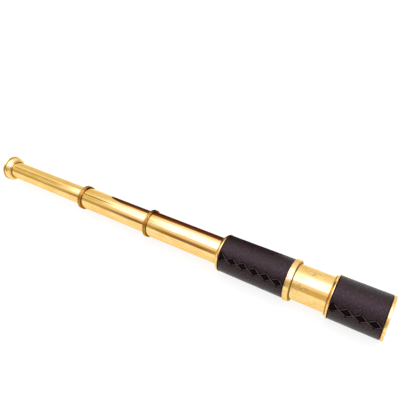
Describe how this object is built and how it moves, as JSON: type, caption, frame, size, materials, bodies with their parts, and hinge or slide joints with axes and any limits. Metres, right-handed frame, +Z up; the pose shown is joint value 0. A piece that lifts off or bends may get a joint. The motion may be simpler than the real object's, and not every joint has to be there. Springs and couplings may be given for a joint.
{
  "type": "hand telescope",
  "caption": "Brass hand telescope with nested draw tubes, a laced leather barrel, a sliding leather-covered sunshade and a flared eyepiece cup, shown fully drawn.",
  "frame": {"origin": "midway along the fully drawn telescope, on the surface it lies on, under the optical axis", "axes": "+X along the optical axis toward the objective, +Z up, +Y to the left when looking along +X"},
  "size_m": [0.4078, 0.0362, 0.0362],
  "materials": {
    "polished_brass": "polished, lacquered",
    "aged_brass": "antiqued, satin",
    "blackened_brass": "matt black",
    "black_leather": "satin, fine grain",
    "lacing_thread": "waxed",
    "lens_glass": "polished"
  },
  "bodies": {
    "barrel": {"barrel_tube": "polished_brass", "barrel_leather": "black_leather", "barrel_lacing": "lacing_thread", "barrel_band": "polished_brass", "barrel_collar": "polished_brass", "objective_cell": "blackened_brass", "objective_retaining_ring": "blackened_brass", "objective_crown_lens": "lens_glass", "objective_flint_lens": "lens_glass"},
    "sunshade": {"shade_tube": "polished_brass", "shade_leather": "black_leather", "shade_lacing": "lacing_thread", "shade_front_ring": "polished_brass", "shade_rear_ring": "polished_brass"},
    "draw3": {"draw3_tube": "polished_brass", "draw3_stop_ring": "polished_brass", "draw3_collar": "aged_brass"},
    "draw2": {"draw2_tube": "polished_brass", "draw2_stop_ring": "polished_brass", "draw2_collar": "aged_brass"},
    "draw1": {"draw1_tube": "polished_brass", "draw1_stop_ring": "polished_brass", "eyepiece_cup": "polished_brass", "eyepiece_cell": "blackened_brass", "eye_lens": "lens_glass", "eye_lens_ring": "blackened_brass", "field_stop": "blackened_brass", "field_lens": "lens_glass", "erector_tube": "blackened_brass", "erector_front_lens": "lens_glass", "erector_stop": "blackened_brass", "erector_rear_lens": "lens_glass"}
  },
  "joints": [
    {"name": "sunshade_slide", "type": "slide", "parent": "barrel", "child": "sunshade", "axis": [1, 0, 0], "range_m": [-0.0279, 0]},
    {"name": "draw3_slide", "type": "slide", "parent": "barrel", "child": "draw3", "axis": [1, 0, 0], "range_m": [0, 0.074]},
    {"name": "draw2_slide", "type": "slide", "parent": "draw3", "child": "draw2", "axis": [1, 0, 0], "range_m": [0, 0.0769]},
    {"name": "draw1_slide", "type": "slide", "parent": "draw2", "child": "draw1", "axis": [1, 0, 0], "range_m": [0, 0.0981]}
  ]
}
